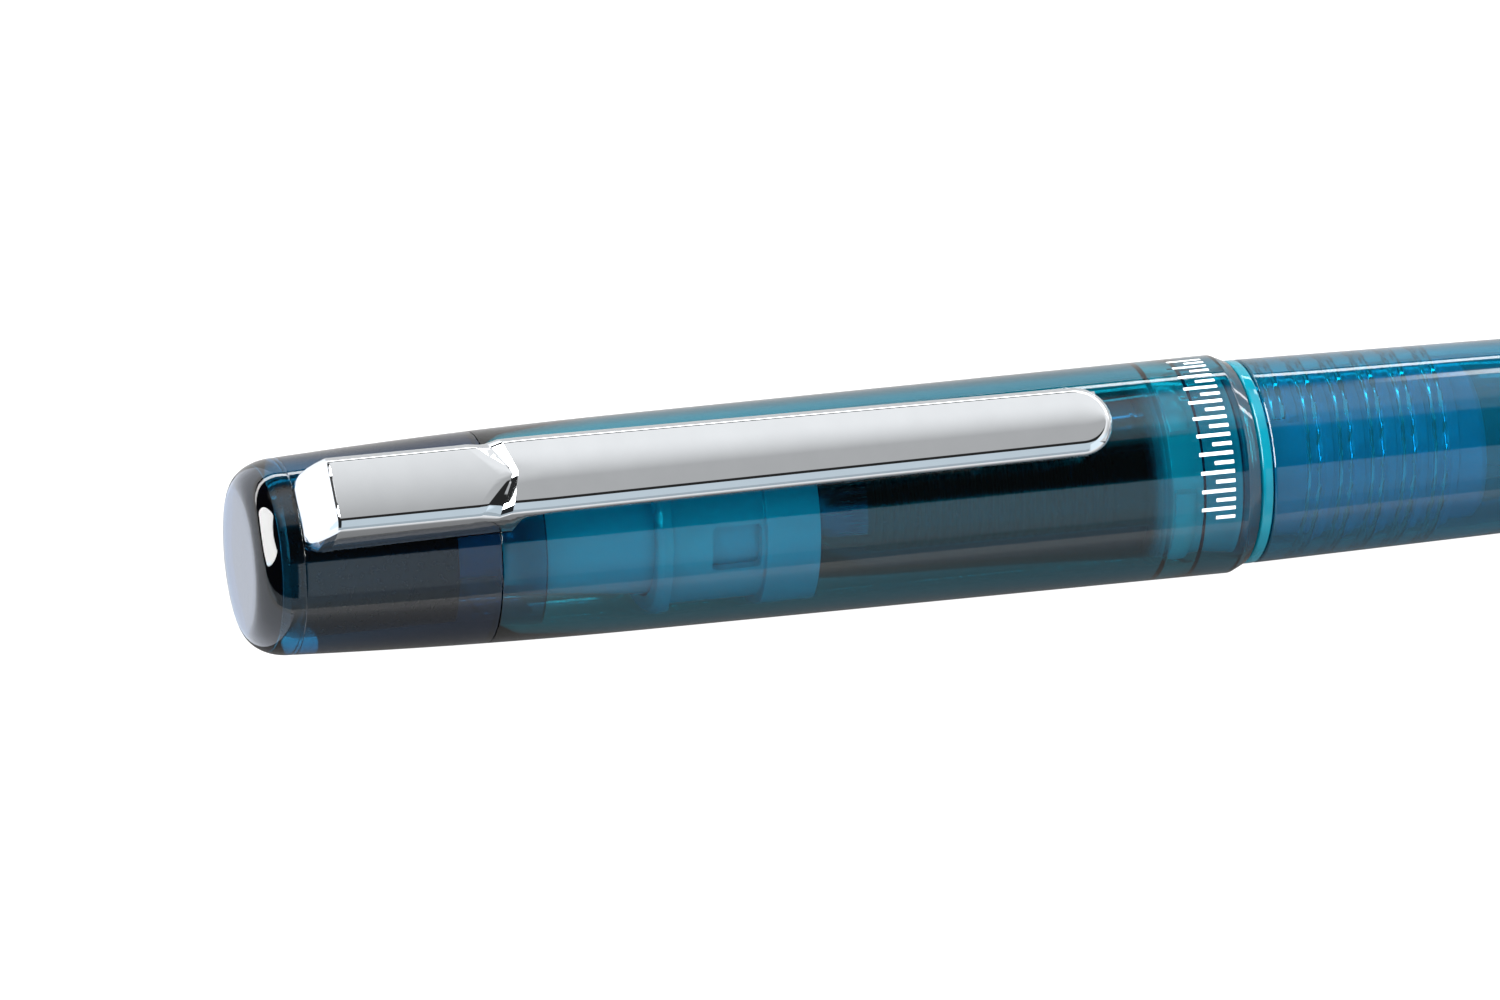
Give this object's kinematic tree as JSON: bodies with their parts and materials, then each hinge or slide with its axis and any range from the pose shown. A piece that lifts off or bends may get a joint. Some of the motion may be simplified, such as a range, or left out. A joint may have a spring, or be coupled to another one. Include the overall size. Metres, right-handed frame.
{
  "type": "fountain pen",
  "caption": "Capped cartridge fountain pen, translucent blue, with a bright steel pocket clip and a sprung inner cap that seals the nib.",
  "frame": {"origin": "on the surface that the capped pen lies on, under the middle of its length", "axes": "+X along the pen towards the barrel's tail, the cap's closed end at -X; the clip is on top, +Z"},
  "size_m": [0.138, 0.0132, 0.0154],
  "materials": {
    "cap_plastic": "clear, deep teal-blue, polished mould",
    "crown_plastic": "clear, deep blue, polished mould",
    "insert_plastic": "opaque dark blue",
    "clip_steel": "stamped steel, bright plated",
    "inner_cap_plastic": "clear teal",
    "spring_steel": "drawn wire",
    "sleeve_plastic": "clear teal",
    "section_plastic": "clear teal-blue",
    "collar_plastic": "clear cyan",
    "nib_steel": "polished stainless steel",
    "nib_tip_metal": "ground hard pellet",
    "feed_plastic": "black ABS",
    "pipe_plastic": "black ABS",
    "cartridge_plastic": "milky polyethylene",
    "ball_steel": "ground steel ball",
    "ink": "blue-black liquid, modelled as a solid",
    "barrel_plastic": "clear blue, polished mould"
  },
  "bodies": {
    "barrel": {"barrel": "barrel_plastic"},
    "collar": {"collar_ring": "collar_plastic"},
    "section": {"section": "section_plastic", "nib": "nib_steel", "nib_tip": "nib_tip_metal", "feed": "feed_plastic", "ink_pipe": "pipe_plastic"},
    "cap": {"cap_tube": "cap_plastic", "crown": "crown_plastic", "crown_insert": "insert_plastic", "cap_sleeve": "sleeve_plastic", "seal_spring": "spring_steel"},
    "inner_cap": {"inner_cap": "inner_cap_plastic"},
    "clip": {"clip": "clip_steel"},
    "cartridge": {"cartridge": "cartridge_plastic", "cartridge_ball": "ball_steel", "ink": "ink"}
  },
  "joints": [
    {"name": "collar_travel", "type": "slide", "parent": "barrel", "child": "collar", "axis": [-1, 0, 0], "range_m": [0, 0.01]},
    {"name": "section_screw", "type": "hinge", "parent": "collar", "child": "section", "pos_m": [-0.008, 0, 0.0066], "axis": [-1, 0, 0], "range_deg": [0, 1800]},
    {"name": "cap_pull", "type": "slide", "parent": "section", "child": "cap", "axis": [-1, 0, 0], "range_m": [0, 0.06]},
    {"name": "inner_cap_push", "type": "slide", "parent": "cap", "child": "inner_cap", "axis": [-1, 0, 0], "range_m": [0, 0.0012], "stiffness_N_per_m": 400, "springref_m": -0.003, "deforming": ["seal_spring"]},
    {"name": "clip_flex", "type": "hinge", "parent": "cap", "child": "clip", "pos_m": [-0.0664, 0, 0.0126], "axis": [0, -1, 0], "range_deg": [0, 2.5], "stiffness_Nm_per_rad": 3, "springref_deg": -0.57},
    {"name": "cartridge_pull", "type": "slide", "parent": "section", "child": "cartridge", "axis": [1, 0, 0], "range_m": [0, 0.0058]}
  ],
  "couplings": [
    {"joint": "collar_travel", "follows": "section_screw", "m_per_rad": 0.0003183}
  ]
}
